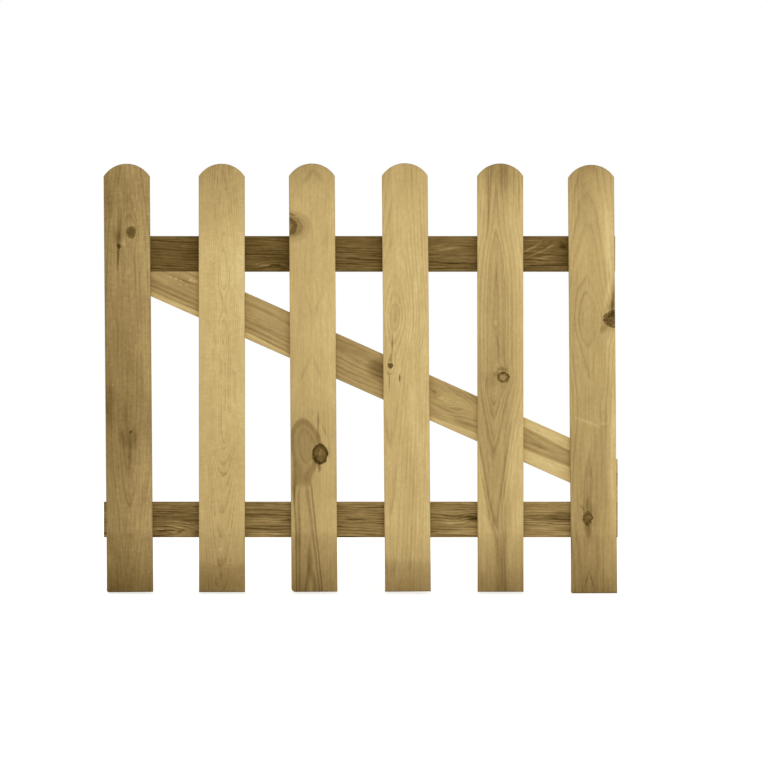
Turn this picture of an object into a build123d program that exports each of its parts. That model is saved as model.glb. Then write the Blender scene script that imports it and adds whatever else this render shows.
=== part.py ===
# Wooden garden gate leaf: six round-topped pickets on two rails, with one diagonal brace behind them.
# Millimetres. X runs along the rails towards the hinge side, Y from the pickets to the back, Z up.
# The origin is on the back face of the bottom rail, where the lower hinge strap goes.
import os
from math import atan, cos
from build123d import *

# Pickets: planed boards with a segmental top
picket_width = 89.0
picket_thickness = 20.0
picket_length = 831.0
picket_top_radius = 53.0
picket_pitch = 180.0
picket_ease = 2.5

# How each picket was nailed up, from the latch side: along the rail, out of plumb, up or down
picket_shifts = (-1.1, 0.5, -2.4, -1.6, 1.0, -0.1)
picket_leans = (0.47, 0.05, 0.36, 0.44, 0.06, 0.43)
picket_rises = (0.0, 0.0, 0.5, 1.0, 0.5, -2.0)

# Worn lower corners of each picket, latch side and hinge side (0 is still square)
picket_worn_corners = ((4.0, 4.0), (0.0, 0.0), (8.0, 0.0), (0.0, 0.0), (0.0, 0.0), (3.0, 0.0))

# Rails
rail_width = 69.0
rail_thickness = 28.0
rail_spacing = 517.0
rail_overhang = 5.0
rail_ease = 3.0
top_rail_latch_setback = 8.0
top_rail_hinge_setback = 5.0
foot_below_rail = 140.0

# Brace: slightly wider at the latch end, where its nib is flush with the end of the top rail,
# and cut level at the hinge end to stand on the bottom rail
brace_latch_width = 82.5
brace_hinge_width = 79.5
brace_thickness = 28.0
brace_nib = 11.0
brace_foot = 9.0
brace_ease = 3.0

# Lower hinge strap's middle, from the hinge end of the bottom rail
hinge_seat_inset = 125.0

# Places worked out from the sizes above
picket_count = len(picket_leans)
picket_row = (picket_count - 1) * picket_pitch + picket_width
hinge_end = hinge_seat_inset
latch_end = hinge_end - picket_row - 2 * rail_overhang
top_rail_latch_end = latch_end + top_rail_latch_setback
first_picket = latch_end + rail_overhang + picket_width / 2
picket_back = -rail_thickness
bottom_rail_top = rail_width / 2
top_rail_underside = rail_spacing - rail_width / 2


def picket(index):
    half = picket_width / 2
    shoulder = picket_length - picket_top_radius + (picket_top_radius**2 - half**2) ** 0.5
    with BuildPart() as board:
        with BuildSketch(Plane.XZ):
            with BuildLine():
                Polyline((-half, shoulder), (-half, 0), (half, 0), (half, shoulder))
                ThreePointArc((half, shoulder), (0, picket_length), (-half, shoulder))
            make_face()
            corners = vertices().group_by(Axis.Y)[0].sort_by(Axis.X)
            for corner, radius in zip(corners, picket_worn_corners[index]):
                if radius > 0:
                    fillet(corner, radius)
        extrude(amount=picket_thickness)
        fillet(faces().filter_by(Axis.Y).edges(), picket_ease)
    middle = Pos(0, 0, -picket_length / 2)
    place = Pos(
        first_picket + index * picket_pitch + picket_shifts[index],
        picket_back,
        picket_length / 2 - foot_below_rail + picket_rises[index],
    )
    return place * Rot(0, -picket_leans[index], 0) * middle * board.part


def rail(start, end, height):
    with BuildPart() as board:
        Box(end - start, rail_thickness, rail_width, align=(Align.MIN, Align.MAX, Align.CENTER))
        fillet(edges().filter_by(Axis.X), rail_ease)
    return Pos(start, 0, height) * board.part


def brace():
    # Its lower edge runs from the nib under the top rail down to the foot on the bottom rail
    nib_bottom = top_rail_underside - brace_nib
    foot_start = hinge_end - brace_foot
    slope = (nib_bottom - bottom_rail_top) / (foot_start - top_rail_latch_end)
    upright = 1 / cos(atan(slope))
    hinge_top = bottom_rail_top - slope * brace_foot + brace_hinge_width * upright
    latch_top = nib_bottom + brace_latch_width * upright
    upper_slope = (latch_top - hinge_top) / (hinge_end - top_rail_latch_end)
    meets_rail = hinge_end - (top_rail_underside - hinge_top) / upper_slope
    with BuildPart() as board:
        with BuildSketch(Plane.XZ.offset(rail_thickness - brace_thickness)):
            with BuildLine():
                Polyline(
                    (top_rail_latch_end, nib_bottom),
                    (foot_start, bottom_rail_top),
                    (hinge_end, bottom_rail_top),
                    (hinge_end, hinge_top),
                    (meets_rail, top_rail_underside),
                    (top_rail_latch_end, top_rail_underside),
                    close=True,
                )
            make_face()
        extrude(amount=brace_thickness)
        sides = faces().filter_by(Axis.Y).edges()
        fillet(sides.filter_by(Axis.X, reverse=True).filter_by(Axis.Z, reverse=True), brace_ease)
    return board.part


nodes = {f"picket_{index + 1}": picket(index) for index in range(picket_count)}
nodes["top_rail"] = rail(top_rail_latch_end, hinge_end - top_rail_hinge_setback, rail_spacing)
nodes["bottom_rail"] = rail(latch_end, hinge_end, 0)
nodes["diagonal_brace"] = brace()

os.makedirs("parts", exist_ok=True)
for name, solid in nodes.items():
    export_step(solid, f"parts/{name}.step")
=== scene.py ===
# Wooden garden gate leaf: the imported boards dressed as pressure-treated pine, fixed with screws from the back
from math import cos, pi, radians, sin, tan
import bpy
from mathutils import Matrix, Vector


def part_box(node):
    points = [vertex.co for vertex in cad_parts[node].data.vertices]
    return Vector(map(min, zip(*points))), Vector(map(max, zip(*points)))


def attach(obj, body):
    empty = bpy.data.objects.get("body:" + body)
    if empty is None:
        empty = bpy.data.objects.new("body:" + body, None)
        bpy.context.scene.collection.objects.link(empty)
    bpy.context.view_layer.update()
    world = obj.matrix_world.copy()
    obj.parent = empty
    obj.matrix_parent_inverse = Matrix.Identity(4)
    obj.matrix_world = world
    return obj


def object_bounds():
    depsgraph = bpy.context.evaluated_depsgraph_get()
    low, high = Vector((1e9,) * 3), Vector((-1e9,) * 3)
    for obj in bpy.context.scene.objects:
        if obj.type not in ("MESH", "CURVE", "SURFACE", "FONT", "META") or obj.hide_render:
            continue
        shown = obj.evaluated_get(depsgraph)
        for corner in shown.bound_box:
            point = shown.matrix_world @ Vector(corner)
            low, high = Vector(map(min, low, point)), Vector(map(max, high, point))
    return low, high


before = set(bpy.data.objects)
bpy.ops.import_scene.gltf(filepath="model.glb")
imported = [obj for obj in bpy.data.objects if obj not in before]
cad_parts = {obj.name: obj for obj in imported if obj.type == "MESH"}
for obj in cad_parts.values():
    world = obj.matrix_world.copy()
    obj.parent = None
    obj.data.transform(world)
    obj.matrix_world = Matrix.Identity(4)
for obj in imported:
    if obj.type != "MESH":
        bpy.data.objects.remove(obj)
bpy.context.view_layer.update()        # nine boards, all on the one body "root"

gateLow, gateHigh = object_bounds()
gateMiddle = (gateLow + gateHigh) / 2
mm = 0.001
print("frame loaded:", sorted(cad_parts))


def linear(hexColour):        # sRGB hex to the linear colour that shaders take
    parts = [int(hexColour[i:i + 2], 16) / 255 for i in (1, 3, 5)]
    return [p / 12.92 if p <= 0.04045 else ((p + 0.055) / 1.055) ** 2.4 for p in parts] + [1.0]


# Inputs are constants, sockets, or nodes, which give their first live output
def addNode(tree, kind, inputs=(), **settings):
    node = tree.nodes.new("ShaderNode" + kind)
    for name, value in settings.items():
        setattr(node, name, value)
    for key, value in inputs.items() if isinstance(inputs, dict) else enumerate(inputs):
        if isinstance(value, bpy.types.Node):
            value = next(socket for socket in value.outputs if socket.enabled)
        if isinstance(value, bpy.types.NodeSocket):
            tree.links.new(value, node.inputs[key])
        else:
            node.inputs[key].default_value = value
    return node


def setStops(ramp, stops):        # (position, linear colour) pairs
    elements = ramp.color_ramp.elements
    while len(elements) < len(stops):
        elements.new(1.0)
    for element, (position, colour) in zip(elements, stops):
        element.position = position
        element.color = colour


def newMaterial(name):
    material = bpy.data.materials.new(name)
    material.use_nodes = True
    material.node_tree.nodes.clear()
    return material, material.node_tree


# Camera: level, square to the gate, its axis at the middle of the picture
photo = {"across": 768, "gateMiddle": 360.7, "bottomRail": 520.0,        # pixels
         "pixelsPerMetre": 515.7, "distance": 8.0, "sensor": 36}        # metres, and mm for the sensor
lens = bpy.data.cameras.new("camera")
lens.sensor_width = photo["sensor"]
lens.lens = photo["sensor"] * photo["pixelsPerMetre"] * photo["distance"] / photo["across"]
camera = bpy.data.objects.new("camera", lens)
half = photo["across"] / 2
camera.location = (
    gateMiddle.x + (half - photo["gateMiddle"]) / photo["pixelsPerMetre"],
    gateLow.y - photo["distance"],
    (photo["bottomRail"] - half) / photo["pixelsPerMetre"],
)
camera.rotation_euler = (pi / 2, 0, 0)
bpy.context.collection.objects.link(camera)
bpy.context.scene.camera = camera
bpy.context.scene.view_settings.view_transform = "Standard"
print("camera at", [round(c, 3) for c in camera.location])

# Pressure-treated pine, planed: straw earlywood between thin brown latewood lines, straight near a board's
# edges and closing into long arches where its face lies flat on the rings. Knots push the lines aside, the
# preservative leaves an olive cast, and the feet and sawn ends have soaked up more of it. Rings are drawn
# two or three times as far apart as real ones, so that they still show at the picture's 2 mm a pixel.
pineTones = [(0.0, "#1d1400"), (0.26, "#453406"), (0.34, "#574318"), (0.39, "#644f24"), (0.47, "#796237"),
             (0.56, "#8f7747"), (0.62, "#9e8453"), (0.73, "#baa068"), (0.80, "#cbb075"), (0.86, "#dac286"),
             (1.0, "#efe2b8")]
# Through one ring, outwards: share of its width, strength of the line
latewood = [(0.0, 0.3), (0.12, 0.0), (0.5, 0.08), (0.78, 0.6), (0.9, 1.0), (1.0, 0.3)]
# How ragged, how speckled, then from the middle outwards: share of the knot's radius, tone, and how far
# it covers the board
knotKinds = {
    "rimmed": (0.26, 0.4, [(0.0, 0.57, 1), (0.14, 0.47, 1), (0.3, 0.42, 1), (0.55, 0.46, 1),
                           (0.74, 0.34, 1), (0.92, 0.31, 1), (1.0, 0.42, 0.8), (1.08, 0.60, 0.3),
                           (1.2, 0.56, 0.3), (1.3, 0.6, 0)]),
    "dark": (0.35, 0.5, [(0.0, 0.42, 1), (0.5, 0.38, 1), (0.8, 0.38, 1), (0.95, 0.44, 0.8),
                         (1.1, 0.54, 0.4), (1.35, 0.62, 0)]),
    "feathered": (0.5, 0.5, [(0.0, 0.48, 1), (0.4, 0.50, 0.95), (0.65, 0.42, 0.95), (0.9, 0.46, 0.7),
                             (1.15, 0.52, 0.35), (1.45, 0.58, 0)]),
    "ringed": (0.34, 0.35, [(0.0, 0.60, 0.6), (0.3, 0.62, 0.7), (0.55, 0.50, 1), (0.78, 0.39, 1),
                            (0.95, 0.46, 0.8), (1.15, 0.62, 0)]),
    "spot": (0.16, 0.3, [(0.0, 0.42, 1), (0.5, 0.385, 1), (0.85, 0.42, 0.9), (1.15, 0.56, 0)]),
    "soft": (0.14, 0.24, [(0.0, 0.40, 1), (0.5, 0.39, 1), (0.75, 0.41, 0.9), (0.95, 0.47, 0.7),
                          (1.2, 0.54, 0.3), (1.5, 0.6, 0)]),
    "cut": (0.12, 0.25, [(0.0, 0.55, 1), (0.3, 0.53, 1), (0.5, 0.45, 1), (0.65, 0.41, 1), (0.88, 0.41, 1),
                         (1.0, 0.48, 0.9), (1.12, 0.55, 0)]),
    "shaded": (0.08, 0.2, [(0.0, 0.55, 0.9), (0.36, 0.55, 0.9), (0.5, 0.56, 0.9), (0.58, 0.55, 0.9),
                           (0.64, 0.64, 0.8), (0.70, 0.63, 0.8), (0.76, 0.69, 0.75), (0.83, 0.67, 0.75),
                           (0.89, 0.71, 0.7), (0.96, 0.70, 0.6), (1.05, 0.74, 0)]),
}
grains = {        # across and along in mm, a step that keeps each pattern's seed its own, and detail
    "sway": (60, 340, 0, 2.0),        # long bends of the rings
    "wave": (13, 46, 6, 2.0),        # short bends
    "jitter": (12, 150, 1, 3.0),        # rings of uneven width
    "ragged": (7, 11, 3, 3.0),        # wandering outlines of knots and marks
    "fleck": (3.4, 4.4, 5, 0.0),        # pale dots
    "speck": (2.6, 3.2, 7, 2.0),        # mottle inside knots
}
pine = {
    "seedSpread": (7.3, 5.1, 9.7), "fadeSeed": 2, "fadeDetail": 2.0, "figureSeed": 10, "figureDetail": 3.0,
    "roughNoise": 0.55, "spokes": 2.6, "spokeDetail": 3.0,
    "raggedReach": (2.0, 0, 2.6),        # mm
    "pushAcross": (2.4, 3), "pushAlong": (3.0, 8),        # rings bend within so many knot radii and mm more
    "fadeFrom": (0.38, 0.62), "fleckFrom": (0.78, 0.86), "fibreFrom": (0.3, 0.7),        # pattern heights
    "sapwoodReach": 5, "sapwoodLine": 0.2, "plainLine": 0.25,        # how far lines weaken past the last ring
    "coreEnds": 12, "markCore": 0.2,        # mm of blur, and the share of a mark that is at full strength
    "sawn": "#8a7448", "sawnCover": 0.55, "sawnFrom": (0.5, 0.75),
    "lineRelief": 0.5, "fibreRelief": 0.6, "reliefDepth": 0.4,        # mm
    "roughness": (0.6, 0.75), "specular": 0.1,
}
curveScale = 100        # Blender's curves run from -1 to 1, so mm go in as hundredths


def grainPattern(tree, local, seed, across, along, step, detail):        # noise drawn out along the board
    offset = [(seed + step) * spread for spread in pine["seedSpread"]]
    place = addNode(tree, "VectorMath", [local, (1 / across, 1 / across, 1 / along), offset],
                    operation="MULTIPLY_ADD")
    return addNode(tree, "TexNoise", {"Vector": place, "Scale": 1.0, "Detail": detail,
                                      "Roughness": pine["roughNoise"]})


def shifted(tree, local, pattern, reach):        # a place moved by up to reach mm each way
    twice = [2 * r for r in reach]
    back = [-r for r in reach]
    sway = addNode(tree, "VectorMath", [pattern.outputs["Color"], twice, back], operation="MULTIPLY_ADD")
    return addNode(tree, "VectorMath", [local, sway], operation="ADD")


def ovalPlace(tree, local, across, along, halfWidth, halfHeight, tilt=0):        # in an oval's own radii
    through = 1000        # much more than the board is thick, so the oval runs through to its back
    around = addNode(tree, "Mapping", {"Vector": local, "Location": (across, 0, along),
                                       "Rotation": (0, radians(tilt), 0),
                                       "Scale": (halfWidth, through, halfHeight)}, vector_type="TEXTURE")
    return around, addNode(tree, "VectorMath", [around], operation="LENGTH")


def endToEnd(tree, board, along):        # where the heart runs past the board, the rings' rise and the tone
    share = addNode(tree, "Math", [along, board["length"]], operation="DIVIDE")
    course = addNode(tree, "VectorCurve", {"Vector": addNode(tree, "CombineXYZ", [share, share, share])})
    scales = {"heartAcross": curveScale, "rise": curveScale, "tone": 1}
    for curve, (key, scale) in zip(course.mapping.curves, scales.items()):
        while len(curve.points) < len(board[key]):
            curve.points.new(0.5, 0.5)
        for point, (position, value) in zip(curve.points, board[key]):
            point.location = (position / board["length"], value / scale)
    course.mapping.update()
    return addNode(tree, "SeparateXYZ", [course]).outputs


def growthRings(tree, board, local, ragged, heartAcross, rise):        # mm from the heart, larger outwards
    swayed = shifted(tree, local, grainPattern(tree, local, board["seed"], *grains["sway"]),
                     (board["sway"], board["sway"], 0))
    swayed = shifted(tree, swayed, grainPattern(tree, local, board["seed"], *grains["wave"]),
                     (board["wave"], 0, 0))
    spot = addNode(tree, "SeparateXYZ", [swayed]).outputs
    sunk = addNode(tree, "Math", [rise, curveScale * board["deep"], spot["Y"]], operation="MULTIPLY_ADD")
    depth = addNode(tree, "Math", [sunk, board["heartDepth"]], operation="ADD")
    aside = addNode(tree, "Math", [heartAcross, -curveScale, spot["X"]], operation="MULTIPLY_ADD")
    radius = addNode(tree, "VectorMath", [addNode(tree, "CombineXYZ", [aside, depth])], operation="LENGTH")
    rings = addNode(tree, "Math", [rise, curveScale * (1 - board["deep"]), radius], operation="MULTIPLY_ADD")
    widths, wider = pine["pushAcross"]
    heights, higher = pine["pushAlong"]
    for across, up, halfWidth, halfHeight, kind, swirl in board["knots"]:
        around, away = ovalPlace(tree, ragged, across, up, halfWidth * widths + wider,
                                 halfHeight * heights + higher)
        near = addNode(tree, "MapRange", [away, 1.0, 0.0, 0.0, -swirl], interpolation_type="SMOOTHSTEP")
        rings = addNode(tree, "Math", [rings, near], operation="ADD")
    return rings, aside, spot["X"]


def latewoodLines(tree, board, local, rings, aside):        # each ring ends in a line of its own strength
    jitter = grainPattern(tree, local, board["seed"], *grains["jitter"])
    uneven = addNode(tree, "Math", [jitter, board["jitter"]], operation="MULTIPLY")
    count = addNode(tree, "Math", [rings, 1 / board["ring"], uneven], operation="MULTIPLY_ADD")
    number = addNode(tree, "Math", [count], operation="FLOOR")
    chance = addNode(tree, "TexWhiteNoise", {"W": number}, noise_dimensions="1D")
    line = addNode(tree, "ValToRGB", [addNode(tree, "Math", [count], operation="FRACT")])
    setStops(line, [(position, (value, value, value, 1)) for position, value in latewood])
    fadeAcross, fadeAlong, weakest = board["fade"]
    patches = grainPattern(tree, local, board["seed"], fadeAcross, fadeAlong, pine["fadeSeed"],
                           pine["fadeDetail"])
    fade = addNode(tree, "MapRange", [patches, *pine["fadeFrom"], weakest, 1.0])
    own = addNode(tree, "MapRange", [chance, 0.0, 1.0, board["faintest"], 1.0])
    strength = addNode(tree, "Math", [own, fade], operation="MULTIPLY")
    sapwood = board["lastRing"] + pine["sapwoodReach"]
    heart = addNode(tree, "MapRange", [rings, board["lastRing"], sapwood, 1.0, pine["sapwoodLine"]])
    strength = addNode(tree, "Math", [strength, heart], operation="MULTIPLY")
    if "plainEdges" in board:        # lines show near the heart's path only
        away = addNode(tree, "Math", [aside], operation="ABSOLUTE")
        middle = addNode(tree, "MapRange", [away, *board["plainEdges"], 1.0, pine["plainLine"]])
        strength = addNode(tree, "Math", [strength, middle], operation="MULTIPLY")
    return addNode(tree, "Math", [line, strength], operation="MULTIPLY")


def laidKnot(tree, board, local, ragged, tone, knot):        # the knot's own wood over the board's tone
    across, up, halfWidth, halfHeight, kind, swirl = knot
    if kind is None:
        return tone
    raggedness, speckle, stops = knotKinds[kind]
    around, away = ovalPlace(tree, ragged, across, up, halfWidth, halfHeight)
    ray = addNode(tree, "VectorMath", [around], operation="NORMALIZE")
    spokes = addNode(tree, "TexNoise", {"Vector": ray, "W": away, "Scale": pine["spokes"],
                                        "Detail": pine["spokeDetail"]}, noise_dimensions="4D")
    cracked = addNode(tree, "Math", [spokes, raggedness, -raggedness / 2], operation="MULTIPLY_ADD")
    wood = addNode(tree, "ValToRGB", [addNode(tree, "Math", [away, cracked], operation="ADD")])
    setStops(wood, [(position, (value, value, value, cover)) for position, value, cover in stops])
    mottle = grainPattern(tree, local, board["seed"], *grains["speck"])
    speck = addNode(tree, "Math", [mottle, speckle, -speckle / 2], operation="MULTIPLY_ADD")
    grey = addNode(tree, "Math", [wood.outputs["Color"], speck], operation="ADD")
    grey = addNode(tree, "Math", [grey, cracked], operation="ADD")
    return addNode(tree, "Mix", {0: wood.outputs["Alpha"], 2: tone, 3: grey}, data_type="FLOAT")


def dressBoard(board):
    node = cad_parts[board["node"]]
    low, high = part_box(board["node"])
    turn = radians(board["turn"])
    run = Vector((sin(turn), 0, cos(turn)))
    start = (low + high) / 2 - run * board["length"] * mm / 2
    start.y = low.y
    start.z += board.get("lift", 0) * mm        # for a board whose axis misses the middle of its box
    material, tree = newMaterial("treated_pine_" + board["node"])
    place = addNode(tree, "TexCoord").outputs["Object"]
    local = addNode(tree, "Mapping", {"Vector": place, "Location": start, "Rotation": (0, turn, 0),
                                      "Scale": (mm, mm, mm)}, vector_type="TEXTURE")
    outline = grainPattern(tree, local, board["seed"], *grains["ragged"])
    ragged = shifted(tree, local, outline, pine["raggedReach"])
    along = addNode(tree, "SeparateXYZ", [local]).outputs["Z"]
    heartAcross, rise, tone = endToEnd(tree, board, along)
    rings, aside, swayedAcross = growthRings(tree, board, local, ragged, heartAcross, rise)
    late = latewoodLines(tree, board, local, rings, aside)

    # Tone: 0 dark to 1 light, on the scale of the pine colours
    tone = addNode(tree, "Math", [late, -board["line"], tone], operation="MULTIPLY_ADD")
    patterns = []
    for width, length, amount in board["figure"]:
        step = pine["figureSeed"] + len(patterns)
        patterns.append(grainPattern(tree, local, board["seed"], width, length, step, pine["figureDetail"]))
        streaks = addNode(tree, "Math", [patterns[-1], amount, -amount / 2], operation="MULTIPLY_ADD")
        tone = addNode(tree, "Math", [tone, streaks], operation="ADD")
    fibre = patterns[0]        # the finest one, which gives the relief and the sheen too
    dots = grainPattern(tree, local, board["seed"], *grains["fleck"])
    fleck = addNode(tree, "MapRange", [dots, *pine["fleckFrom"], 0.0, board["flecks"]])
    tone = addNode(tree, "Math", [tone, fleck], operation="ADD")
    # Tone across the face from the left edge to the right: partly painted light from the right, partly the
    # board's own tone
    edge = board["width"] / 2
    side = addNode(tree, "MapRange", [swayedAcross, -edge, edge, *board["sides"]])
    tone = addNode(tree, "Math", [tone, side], operation="ADD")
    soft = pine["coreEnds"]
    for reach, blur, amount, foot, head in board["cores"]:
        inside = addNode(tree, "MapRange", [rings, reach + blur, reach - blur, 0.0, amount],
                         interpolation_type="SMOOTHSTEP")
        above = addNode(tree, "MapRange", [along, foot - soft, foot + soft, 0.0, 1.0],
                        interpolation_type="SMOOTHSTEP")
        below = addNode(tree, "MapRange", [along, head + soft, head - soft, 0.0, 1.0],
                        interpolation_type="SMOOTHSTEP")
        core = addNode(tree, "Math", [inside, above], operation="MULTIPLY")
        core = addNode(tree, "Math", [core, below], operation="MULTIPLY")
        tone = addNode(tree, "Math", [tone, core], operation="ADD")
    for knot in board["knots"]:
        tone = laidKnot(tree, board, local, ragged, tone, knot)
    for across, up, halfWidth, halfHeight, amount, tilt in board["marks"]:
        around, away = ovalPlace(tree, ragged, across, up, halfWidth, halfHeight, tilt)
        mark = addNode(tree, "MapRange", [away, 1.0, pine["markCore"], 0.0, amount],
                       interpolation_type="SMOOTHSTEP")
        tone = addNode(tree, "Math", [tone, mark], operation="ADD")
    planed = addNode(tree, "ValToRGB", [tone])
    setStops(planed, [(position, linear(colour)) for position, colour in pineTones])

    # Sawn ends: open pores, darker
    normal = addNode(tree, "NewGeometry").outputs["Normal"]
    facing = addNode(tree, "VectorMath", [normal, run], operation="DOT_PRODUCT").outputs["Value"]
    facing = addNode(tree, "Math", [facing], operation="ABSOLUTE")
    end = addNode(tree, "MapRange", [facing, *pine["sawnFrom"], 0.0, pine["sawnCover"]],
                  interpolation_type="SMOOTHSTEP")
    colour = addNode(tree, "Mix", {0: end, 6: planed.outputs["Color"], 7: linear(pine["sawn"])},
                     data_type="RGBA", blend_type="MULTIPLY")

    fibres = addNode(tree, "Math", [fibre, pine["fibreRelief"]], operation="MULTIPLY")
    relief = addNode(tree, "Math", [late, pine["lineRelief"], fibres], operation="MULTIPLY_ADD")
    bump = addNode(tree, "Bump", {"Strength": board["relief"], "Distance": pine["reliefDepth"] * mm,
                                  "Height": relief})
    rough = addNode(tree, "MapRange", [fibre, *pine["fibreFrom"], *pine["roughness"]])
    shader = addNode(tree, "BsdfPrincipled", {"Base Color": colour, "Roughness": rough,
                                              "Specular IOR Level": pine["specular"], "Normal": bump})
    addNode(tree, "OutputMaterial", [shader])
    node.data.materials.clear()
    node.data.materials.append(material)
    print("dressed", board["node"])
    return start, run


# Places are in mm: across from a board's middle, up from its foot or along from its latch end.
# heartAcross, rise and tone are followed from end to end. With deep at 0 the rise adds to the rings' radius.
# With deep at 1 it sinks the heart below the face, so that the lines on both sides of it stay straight.
# Lines are faint past lastRing, and between plainEdges' two distances from the heart they fade.
# figure: fibres, blotches, mottle and ripples, as width, length and amount
# knots: across, up, half width, half height, kind, how far they push the rings (None: no knot, only a push)
# cores: wood darker or paler inside a ring, as the ring's radius, blur, amount, foot and head
# marks: stains, streaks, cracks, scuffs and painted shade, as across, up, half width, half height, amount, tilt
# in degrees
# sides: tone added at the left and right edges, partly painted light falling from the right and partly the
# wood's own tone
picketSize = {"length": 831, "width": 89, "deep": 0, "ring": 7.0, "lastRing": 1000, "jitter": 0.9,
              "sway": 4, "wave": 0.8, "fade": (30, 160, 0.3), "faintest": 0.25, "relief": 0.35,
              "flecks": 0.08,
              "figure": [(2.4, 80, 0.15), (24, 90, 0.10), (5, 9, 0.10)],
              "cores": []}
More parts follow.
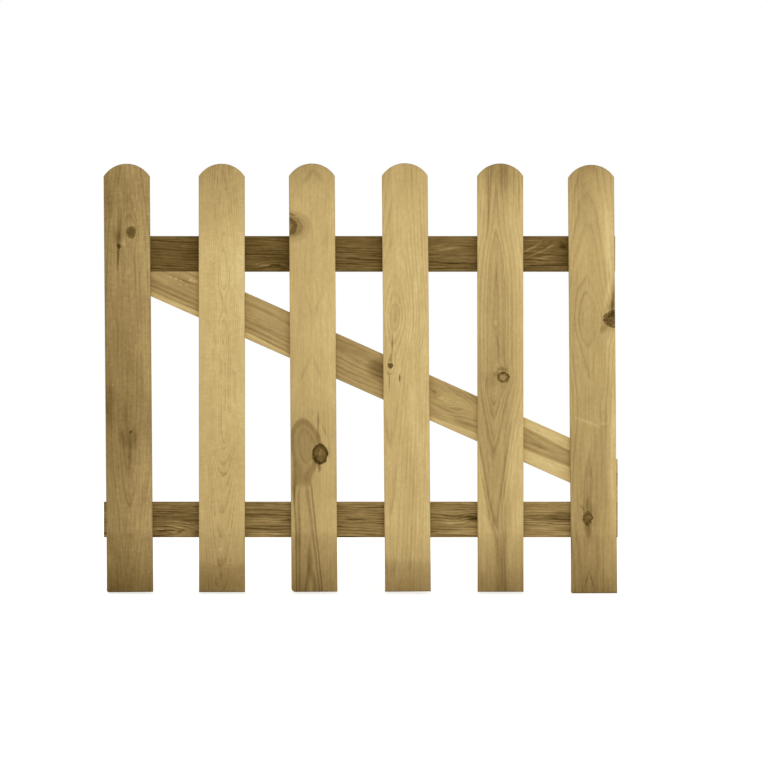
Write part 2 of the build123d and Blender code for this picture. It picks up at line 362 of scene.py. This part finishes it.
pickets = [
    # The darkest picket: a knot near the top, and a smaller one beside it with a crack through it
    {"node": "picket_1", "turn": -0.47, "seed": 1.0, "line": 0.10, "sides": (-0.06, 0.04), "heartDepth": 12,
     "heartAcross": [(0, 0), (300, 2), (831, 4)],
     "rise": [(0, 26), (150, 14), (236, 5), (306, 0), (600, 0), (698, 4), (746, 10), (831, 20)],
     "tone": [(0, 0.46), (25, 0.51), (60, 0.575), (110, 0.60), (115, 0.63), (205, 0.645), (271, 0.62),
              (337, 0.59), (403, 0.61), (535, 0.63), (667, 0.65), (733, 0.63), (831, 0.63)],
     "figure": [(2.6, 70, 0.20), (24, 90, 0.16), (5, 8, 0.12), (14, 3.5, 0.08)],
     "knots": [(8, 698, 9.8, 13.5, "soft", 9), (-16, 671, 4.8, 5.2, "soft", 4),
               (4, 310, 3.4, 4.4, None, 8)],
     "marks": [(-15, 706, 7, 60, -0.09, 4), (-16.5, 676, 6.5, 46, -0.09, 3), (-22, 690, 10, 26, -0.05, 0),
               (-18, 648, 2.4, 36, -0.20, 3), (4, 311, 2.4, 6, -0.20, 40), (-6, 676, 8, 8, 0.07, 0),
               (0, 300, 26, 30, -0.09, 0), (2, 262, 7, 44, -0.10, 3), (-12, 290, 9, 46, -0.04, -10),
               (14, 300, 8, 34, -0.02, 10), (-6, 345, 6, 34, -0.06, 0), (-36, 366, 12, 60, -0.055, 0),
               (4, 315, 4, 2.2, 0.10, 45), (-34, 760, 16, 50, -0.06, 0), (4, 726, 14, 16, -0.05, 0)]},
    # Clear and pale, with fine arches up its middle
    {"node": "picket_2", "turn": -0.05, "seed": 2.0, "line": 0.16, "sides": (-0.015, 0.02), "heartDepth": 0,
     "deep": 1, "fade": (9, 24, 0.2), "wave": 1.6, "sway": 2, "jitter": 0.5, "plainEdges": (20, 38),
     "ring": 3.4,
     "heartAcross": [(0, -2), (160, 2), (300, 5), (440, 6), (615, 4), (831, 4)],
     "rise": [(0, 40), (40, 37), (100, 33), (150, 29), (196, 25.5), (240, 20), (270, 14), (300, 7),
              (360, 5), (440, 6), (480, 4), (520, 8), (560, 12), (615, 6), (692, 12), (740, 16), (831, 20)],
     "tone": [(0, 0.535), (20, 0.565), (44, 0.615), (72, 0.71), (110, 0.74), (116, 0.762), (206, 0.78),
              (272, 0.785), (338, 0.805), (470, 0.81), (602, 0.825), (668, 0.815), (734, 0.765),
              (800, 0.705), (831, 0.68)],
     "figure": [(2.4, 80, 0.08), (24, 90, 0.08), (5, 9, 0.07), (10, 4, 0.09)],
     "knots": [],
     "marks": [(-2, 84, 4, 4, 0.06, 0), (-2, 34, 5, 12, -0.07, 0), (3.5, 484, 2, 10, -0.08, -16),
               (10.5, 484, 2, 10, -0.08, 16), (21, 428, 1.8, 8, -0.07, 20), (25, 422, 1.8, 9, -0.06, 20)]},
    # A round knot low down in a tongue of heartwood, and half a knot on the latch edge
    {"node": "picket_3", "turn": -0.36, "seed": 3.0, "line": 0.06, "sides": (-0.04, 0.02), "heartDepth": 25,
     "ring": 5.0, "lastRing": 43, "jitter": 0.5,
     "heartAcross": [(0, -9.6), (121, -15), (206, -19.5), (276, -16), (338, -18), (478, -15), (831, -6)],
     "rise": [(0, 7), (60, 8.8), (121, 10.4), (206, 12.2), (222, 12.6), (237, 11.6), (256, 8.4), (286, 5),
              (300, 5.3), (311, 6.6), (325, 11), (338, 17), (366, 26), (478, 38), (640, 50), (831, 70)],
     "tone": [(0, 0.555), (25, 0.605), (60, 0.66), (110, 0.715), (115, 0.745), (206, 0.76), (330, 0.75),
              (380, 0.775), (470, 0.795), (536, 0.80), (668, 0.78), (770, 0.765), (800, 0.725),
              (831, 0.67)],
     "knots": [(-46, 709, 46, 34, "shaded", 6), (-46, 709, 17, 18, "cut", 4),
               (12.4, 267, 15.5, 20.5, "rimmed", 7)],
     "cores": [(42, 1.3, -0.14, 206, 900), (37, 2.5, 0.05, 206, 900), (43.4, 0.9, -0.13, -100, 206),
               (41.6, 0.9, 0.12, -100, 206), (39.8, 0.9, -0.11, -100, 200), (38.2, 0.9, 0.11, -100, 200)],
     "marks": [(-28, 754, 13, 24, 0.04, 0), (9.4, 330, 2.6, 30, -0.16, 1), (10, 302, 7, 22, -0.05, 0),
               (11, 243, 5.5, 15, -0.20, 0), (22, 312, 3, 26, -0.08, -22), (-9, 62, 8, 46, -0.11, 0),
               (-14, 24, 4.5, 40, -0.07, 9), (0, 22, 4.5, 42, -0.08, -9), (-7, 6, 4, 20, 0.07, 0),
               (30, 272, 7, 24, -0.06, 0), (3, 258, 5, 12, -0.08, 20), (14, 271, 3, 6, 0.08, 20),
               (3, 255, 7, 13, -0.07, 30), (-38, 215, 6.5, 56, -0.16, 0), (-32, 124, 7, 70, -0.06, 1),
               (-40, 733, 11, 3.4, -0.20, 18), (-7, 806, 8, 27, -0.055, 35), (13, 806, 8, 27, -0.055, -35),
               (30, 690, 12, 36, -0.04, 0), (-7, 556, 4.5, 36, -0.04, -14), (10, 556, 4.5, 36, -0.04, 15),
               (-14, 434, 5, 38, -0.04, 22), (8, 436, 5, 36, -0.04, -20)]},
    # Pale, with a pin knot below a long oval of rings
    {"node": "picket_4", "turn": -0.44, "seed": 4.0, "line": 0.11, "sides": (-0.015, 0.015),
     "heartDepth": 0, "deep": 1, "jitter": 0.35, "sway": 2, "ring": 5.5, "fade": (24, 130, 0.1),
     "heartAcross": [(0, -36), (316, -33), (440, -31), (500, -23), (535, -21), (640, -20), (831, -12)],
     "rise": [(0, 44), (150, 38), (316, 30), (440, 20), (502, 11), (520, 5), (532, 3), (545, 5), (562, 11),
              (592, 16.5), (627, 22), (680, 30), (831, 40)],
     "tone": [(0, 0.60), (25, 0.64), (56, 0.70), (64, 0.755), (110, 0.793), (116, 0.80), (206, 0.80),
              (338, 0.81), (470, 0.815), (536, 0.825), (668, 0.81), (740, 0.80), (800, 0.765),
              (831, 0.745)],
     "knots": [(-31, 439, 5.8, 5.8, "spot", 7)],
     "cores": [(11, 0.8, -0.05, 480, 600)],
     "marks": [(-27, 480, 2.0, 34, -0.18, 2), (-33, 410, 2.0, 28, -0.16, 0), (-13, 415, 2.4, 11, -0.36, 0),
               (-30, 455, 5, 13, -0.12, 0)]},
    # Long points of rings below a ringed knot, and one stripe above it
    {"node": "picket_5", "turn": -0.06, "seed": 5.0, "line": 0.12, "sides": (0.002, 0.03), "heartDepth": 6,
     "ring": 8.0, "lastRing": 58, "jitter": 0.3, "sway": 3, "fade": (40, 220, 0.4), "faintest": 0.5,
     "heartAcross": [(0, 3), (60, 2.5), (110, -1), (127, -6), (160, -10), (195, -11.5), (282, -12.5),
                     (341, -12), (385, -11), (425, -8.5), (468, -8), (831, -8)],
     "rise": [(0, 45), (60, 45), (100, 44.5), (127, 42.5), (160, 38.5), (195, 33), (223, 29), (275, 21),
              (310, 14.5), (341, 9.5), (369, 4), (388, 1), (420, -0.5), (600, -0.5), (640, 2), (664, 5),
              (697, 10.5), (740, 14), (831, 18)],
     "tone": [(0, 0.555), (25, 0.60), (60, 0.68), (110, 0.75), (116, 0.78), (206, 0.795), (338, 0.79),
              (404, 0.765), (470, 0.775), (536, 0.79), (734, 0.785), (790, 0.72), (831, 0.65)],
     "knots": [(5, 416, 12.5, 11, "ringed", 12), (-15, 402, 9, 8, None, 12)],
     "cores": [(16, 2, -0.035, 400, 900), (17.6, 0.9, -0.09, 430, 760), (15.6, 0.9, 0.08, 430, 760),
               (41, 3, -0.035, 400, 900), (58, 1.5, -0.045, -100, 55), (58, 2, -0.085, 55, 165),
               (54, 2, -0.085, 165, 220), (50, 2, -0.085, 220, 285), (46, 2, -0.085, 285, 330),
               (42.5, 2, -0.085, 330, 372), (42, 2, -0.055, 372, 396), (42, 2, -0.025, 396, 424),
               (49, 1, -0.09, 105, 330), (46.5, 1, 0.08, 105, 330), (28, 0.9, -0.09, 240, 400),
               (25.5, 0.9, 0.08, 240, 400), (16.5, 0.8, -0.08, 310, 420), (14.3, 0.8, 0.07, 310, 420),
               (11, 0.7, -0.07, 340, 430), (9.2, 0.7, 0.06, 340, 430)],
     "marks": [(2.5, 46, 2.6, 62, -0.08, 0), (-14, 136, 4, 16, -0.06, 0), (-20, 158, 4, 34, -0.05, 8),
               (9, 140, 4, 80, -0.06, -1), (16, 150, 11, 80, -0.05, 0), (-9, 522, 9.5, 15, -0.08, 0),
               (-9, 522, 6.5, 10.5, 0.13, 0), (-7, 622, 3, 26, -0.06, 0), (6, 802, 22, 44, -0.06, 0),
               (-33, 775, 10, 60, 0.05, 0), (-4, 472, 2.6, 36, -0.09, -6), (26, 790, 3, 70, -0.09, 0),
               (36, 770, 3, 60, -0.07, 0), (-23, 760, 3, 90, -0.09, 0), (3, 432, 15, 6, -0.13, 4),
               (-8, 424, 6, 11, -0.10, 25), (5, 425, 9, 2.8, -0.12, -12)]},
    # A dark knot on the hinge edge, a feathered one at the bottom rail and a pale scratch between them
    {"node": "picket_6", "turn": -0.43, "seed": 6.0, "line": 0.115, "sides": (0.002, 0.022),
     "heartDepth": 0, "deep": 1, "faintest": 0.3,
     "heartAcross": [(0, -11), (143, -12), (417, -6), (530, -10), (607, -11), (657, -9), (831, -8)],
     "rise": [(0, 36), (60, 34), (143, 29), (200, 25), (250, 26.5), (300, 29), (360, 31), (390, 29),
              (417, 25), (455, 22), (485, 16), (506, 11), (529, 5), (550, 10), (568, 12.5), (585, 17),
              (607, 23.5), (630, 27.5), (657, 31.5), (720, 40), (831, 52)],
     "tone": [(0, 0.56), (25, 0.615), (60, 0.655), (110, 0.69), (116, 0.71), (206, 0.715), (272, 0.73),
              (338, 0.745), (470, 0.76), (536, 0.755), (602, 0.775), (668, 0.775), (734, 0.755),
              (790, 0.71), (831, 0.655)],
     "knots": [(42, 531, 21, 17.5, "dark", 9), (-12, 145, 10, 15, "feathered", 5)],
     "cores": [(46, 10, -0.035, -100, 900)],
     "marks": [(29, 690, 14, 150, 0.045, -5), (32, 455, 10, 60, 0.05, 0), (29, 541, 2, 6, 0.12, 0),
               (40, 555, 10, 20, -0.10, 10), (42, 522, 8, 8, 0.08, 0), (41, 578, 7, 50, -0.12, 4),
               (40, 566, 4, 32, -0.13, 7), (29, 578, 6, 40, 0.06, 12), (22, 513, 9, 15, -0.11, 25),
               (36, 492, 12, 28, 0.07, 0), (-10, 332, 5, 36, 0.07, -68), (20, 328, 4, 14, 0.05, 84),
               (-11, 122, 9, 25, -0.16, 0), (-10, 148, 26, 40, -0.05, 0), (-12, 172, 4, 22, -0.14, 0),
               (-22, 166, 4, 14, -0.08, -40), (37, 740, 14, 130, 0.05, 0), (-20, 770, 22, 70, -0.04, 0),
               (39, 270, 14, 250, 0.09, 0), (-15, 26, 2.4, 26, -0.10, 14), (-5, 26, 2.4, 26, -0.10, -14)]},
]
for picket in pickets:
    dressBoard({**picketSize, **picket})

# The rails have weathered darker and coarser than the pickets
rail = {"width": 69, "deep": 0, "ring": 5.0, "lastRing": 1000, "jitter": 2.4, "sway": 7, "wave": 2.6,
        "fade": (12, 80, 0.3), "faintest": 0.25, "relief": 0.8, "flecks": 0.0, "turn": 90,
        "sides": (0.0, 0.0), "heartDepth": 25,
        "cores": []}
# Painted shade: the top rail darker in the corner beside each picket's latch edge, where the picket shades it
paintedShadeBesidePickets = [(0, end, 150, 40, -0.04, 0) for end in (180, 355, 535, 720, 897)]
dressBoard({**rail, "node": "top_rail", "length": 986, "seed": 11.0, "line": 0.27,
            "heartAcross": [(0, 60), (986, 75)],
            "rise": [(0, 0), (986, 20)],
            "tone": [(0, 0.42), (132, 0.415), (311, 0.43), (489, 0.45), (675, 0.49), (856, 0.46),
                     (986, 0.45)],
            "figure": [(2.2, 60, 0.30), (13, 110, 0.15), (5, 14, 0.12)],
            "knots": [(-24, 872, 8, 14, None, 16), (20, 330, 5, 16, None, 8)],
            "marks": [(22, 850, 1.8, 48, -0.18, -2), (-11, 824, 3.2, 30, 0.16, -26),
                      (-2, 836, 3, 30, 0.14, -20), (8, 845, 3, 34, 0.12, -10), (-14, 860, 3, 16, 0.14, -20),
                      (15, 850, 4, 40, 0.08, 0), (-14, 886, 6, 12, -0.14, 0), (-8, 655, 3, 40, 0.09, -10),
                      (4, 640, 3, 40, 0.08, -8), (-18, 650, 2.6, 36, 0.08, -12), (22, 300, 4, 24, 0.12, 0),
                      (24, 345, 5, 26, -0.03, 0), *paintedShadeBesidePickets]})
dressBoard({**rail, "node": "bottom_rail", "length": 999, "seed": 12.0, "line": 0.38,
            "heartAcross": [(0, 48), (999, 70)],
            "rise": [(0, 0), (999, 10)],
            "tone": [(0, 0.52), (140, 0.52), (319, 0.565), (497, 0.59), (683, 0.605), (864, 0.65),
                     (999, 0.65)],
            "figure": [(2.2, 60, 0.42), (13, 110, 0.20), (5, 14, 0.14)],
            "knots": [(14, 120, 9, 30, None, 14), (-4, 726, 8, 14, None, 8)],
            "marks": [(0, 490, 1.6, 34, -0.26, 0), (-4, 722, 10, 28, -0.22, 0), (-6, 680, 4, 42, -0.11, 0),
                      (7, 690, 4, 42, 0.08, 0), (0, 3, 60, 11, 0.13, 0), (-7, 892, 14, 46, -0.20, 0),
                      (-5, 846, 9, 52, -0.14, 0), (2, 172, 5, 34, -0.10, 0), (-9, 300, 5, 60, -0.10, 0),
                      (1, 330, 4.5, 40, 0.10, 3), (12, 322, 4, 50, -0.06, 0), (29, 318, 7, 60, 0.09, 0),
                      (29, 142, 6, 50, 0.06, 0), (-6, 80, 7, 30, -0.08, 0), (14, 140, 2.6, 40, 0.12, 12),
                      (22, 126, 2.4, 36, 0.10, 10), (5, 150, 2.2, 30, 0.09, 8)]})
# The brace's grain swirls two thirds of the way down, with pale flecks near the latch end
brace = {"node": "diagonal_brace", "length": 1085, "width": 81, "turn": 114.06, "lift": 37, "seed": 13.0,
         "deep": 0, "ring": 8.0, "lastRing": 70, "jitter": 0.9, "sway": 4, "wave": 1.2,
         "fade": (20, 120, 0.2), "faintest": 0.3, "relief": 0.4, "flecks": 0.08, "line": 0.17,
         "sides": (0.0, 0.0), "heartDepth": 8,
         "heartAcross": [(0, -20), (340, -20), (535, -15), (640, -15), (686, -13), (720, -9), (760, -5),
                         (890, -3), (1085, -3)],
         "rise": [(0, 15), (144, 16.4), (340, 19.4), (535, 9.5), (640, 12), (686, 20), (720, 28), (745, 33),
                  (786, 38), (840, 45), (890, 50), (936, 51.5), (985, 53), (1085, 55)],
         "tone": [(0, 0.80), (144, 0.80), (340, 0.80), (535, 0.79), (738, 0.835), (936, 0.842),
                  (1085, 0.842)],
         "figure": [(2.4, 70, 0.18), (20, 90, 0.12), (5, 10, 0.10)],
         "knots": [(-9, 696, 13, 24, None, 36)],
         "cores": [(70, 1.5, -0.10, -100, 880), (70, 1.2, -0.13, 880, 2000)],
         "marks": [(0, 160, 30, 34, -0.03, 0), (-22, 672, 12, 16, -0.03, 0), (-13, 688, 6, 9, -0.11, 0),
                   (-8, 710, 6, 14, 0.06, 0), (-2, 744, 4, 20, -0.10, -16), (9, 722, 3.5, 36, -0.09, 0),
                   (-30, 738, 8, 46, -0.06, 0), (18, 766, 10, 38, -0.08, 0), (-10, 568, 24, 28, -0.16, 0),
                   (4, 584, 12, 24, -0.08, 0), (-22, 500, 20, 60, -0.05, 0), (-20, 190, 9, 50, 0.07, 0),
                   (-10, 141, 3.6, 4.4, 0.11, 60), (-10, 151, 3, 4, 0.10, 0), (-19, 168, 3.4, 7, 0.13, -30),
                   (-7, 164, 4, 6, 0.08, 0), (-8, 130, 3, 5, 0.07, 0), (-20, 176, 3, 6, 0.11, -20),
                   (-3, 152, 3, 5, 0.08, 0), (12, 120, 6, 130, -0.06, 0), (22, 140, 4, 130, -0.06, 0),
                   (8, 330, 4, 110, -0.07, 0), (20, 330, 3, 110, -0.06, 0)]}
braceStart, braceRun = dressBoard(brace)

# Countersunk wood screws driven from the back, two where a picket crosses a rail or the brace
screw = {"radius": 4.2, "sides": 32, "thick": 1.6, "proud": 0.5, "bevel": 0.3, "across": 18, "up": 14,
         "slotLength": 4.6, "slotWidth": 1.2, "slotDepth": 0.9, "turnEach": 0.7,        # mm and radians
         "wear": 1.111, "film": "#a8935a", "bare": "#cfc199", "roughness": 0.38}
# Yellow passivated steel, pressed: a dull brass sheen, paler where the film is worn in spots of a millimetre
material, tree = newMaterial("yellow_passivated_steel")
place = addNode(tree, "TexCoord").outputs["Object"]
worn = addNode(tree, "TexNoise", {"Vector": place, "Scale": 1 / (screw["wear"] * mm), "Detail": 2.0})
film = addNode(tree, "Mix", {0: worn, 6: linear(screw["film"]), 7: linear(screw["bare"])}, data_type="RGBA")
steel = addNode(tree, "BsdfPrincipled", {"Base Color": film, "Metallic": 1.0,
                                         "Roughness": screw["roughness"]})
addNode(tree, "OutputMaterial", [steel])
bpy.ops.object.select_all(action="DESELECT")
bpy.ops.mesh.primitive_cylinder_add(vertices=screw["sides"], radius=screw["radius"] * mm,
                                    depth=screw["thick"] * mm,
                                    location=(0, (screw["proud"] - screw["thick"] / 2) * mm, 0),
                                    rotation=(pi / 2, 0, 0))
head = bpy.context.object
bpy.ops.object.transform_apply(location=True, rotation=True)
edge = head.modifiers.new("edge", "BEVEL")
edge.width = screw["bevel"] * mm
edge.segments = 2
bpy.ops.object.modifier_apply(modifier="edge")
cutterDepth = 2 * screw["slotDepth"]        # its middle is level with the head
for wide, tall in (("slotLength", "slotWidth"), ("slotWidth", "slotLength")):        # a cross of two slots
    bpy.ops.mesh.primitive_cube_add(size=mm, location=(0, screw["proud"] * mm, 0),
                                    scale=(screw[wide], cutterDepth, screw[tall]))
    cutter = bpy.context.object
    slot = head.modifiers.new("slot", "BOOLEAN")
    slot.object = cutter
    bpy.context.view_layer.objects.active = head
    bpy.ops.object.modifier_apply(modifier="slot")
    bpy.data.objects.remove(cutter)
head.data.materials.append(material)
places = []
slope = braceRun.z / braceRun.x
for picket in pickets:
    low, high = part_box(picket["node"])
    middle = (low + high) / 2
    lean = tan(radians(picket["turn"]))
    offsets = [(side * screw["across"] * mm, side * screw["up"] * mm) for side in (-1, 1)]
    for rails in ("top_rail", "bottom_rail"):
        below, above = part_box(rails)
        height = (below.z + above.z) / 2
        axis = middle.x + (height - middle.z) * lean
        places += [(axis + x, height + z) for x, z in offsets]
    if picket["node"] != "picket_1":        # there the brace is cut away under the rail
        height = braceStart.z + (middle.x - braceStart.x) * slope
        places += [(middle.x + x, height + x * slope) for x, z in offsets]
for index, (x, z) in enumerate(places):
    piece = head.copy()
    piece.name = "screw_%02d" % (index + 1)
    piece.data = head.data.copy()
    piece.data.transform(Matrix.Translation((x, 0, z)) @ Matrix.Rotation(index * screw["turnEach"], 4, "Y"))
    bpy.context.collection.objects.link(piece)
    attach(piece, "root")
bpy.data.objects.remove(head)
print("screws driven:", len(places))

# Studio: white world for the camera, soft light for the boards, pale floor under the feet
light = {"world": 0.63, "size": 3.4, "key": (105, (0.5, -4.8, 2.4)),        # watts, metres
         "fill": (70, (-1.8, 4.8, 2.4))}
world = bpy.data.worlds.new("studio")
bpy.context.scene.world = world
world.use_nodes = True
sky = world.node_tree
sky.nodes.clear()
rays = addNode(sky, "LightPath").outputs
seen = addNode(sky, "Math", [rays["Is Camera Ray"], rays["Is Transmission Ray"]], operation="MAXIMUM")
seen = addNode(sky, "Math", [seen, rays["Is Glossy Ray"]], operation="MAXIMUM")
strength = addNode(sky, "MapRange", [seen, 0.0, 1.0, light["world"], 1.0])
background = addNode(sky, "Background", {"Color": (1, 1, 1, 1), "Strength": strength})
addNode(sky, "OutputWorld", [background])
for name in ("key", "fill"):        # the fill keeps the back of the gate readable
    watts, away = light[name]
    lamp = bpy.data.lights.new(name, "AREA")
    lamp.energy = watts
    lamp.size = light["size"]
    stand = bpy.data.objects.new(name, lamp)
    stand.location = gateMiddle + Vector(away)
    stand.rotation_euler = (-Vector(away)).to_track_quat("-Z", "Y").to_euler()
    bpy.context.collection.objects.link(stand)
print("studio lit")

stage = {"size": 40, "paint": "#f2f2f0", "glow": 0.45}        # metres; the glow is for the camera alone
bpy.ops.object.select_all(action="DESELECT")
bpy.ops.mesh.primitive_plane_add(size=stage["size"], location=(gateMiddle.x, gateMiddle.y, gateLow.z))
floor = bpy.context.object
floor.name = "floor"
material, tree = newMaterial("pale_floor")        # matt white paint, which keeps the gate's soft shadow
paint = addNode(tree, "BsdfDiffuse", {"Color": linear(stage["paint"])})
rays = addNode(tree, "LightPath").outputs
lift = addNode(tree, "Math", [rays["Is Camera Ray"], stage["glow"]], operation="MULTIPLY")
glow = addNode(tree, "Emission", {"Color": (1, 1, 1, 1), "Strength": lift})
both = addNode(tree, "AddShader", [paint, glow])
addNode(tree, "OutputMaterial", [both])
floor.data.materials.append(material)
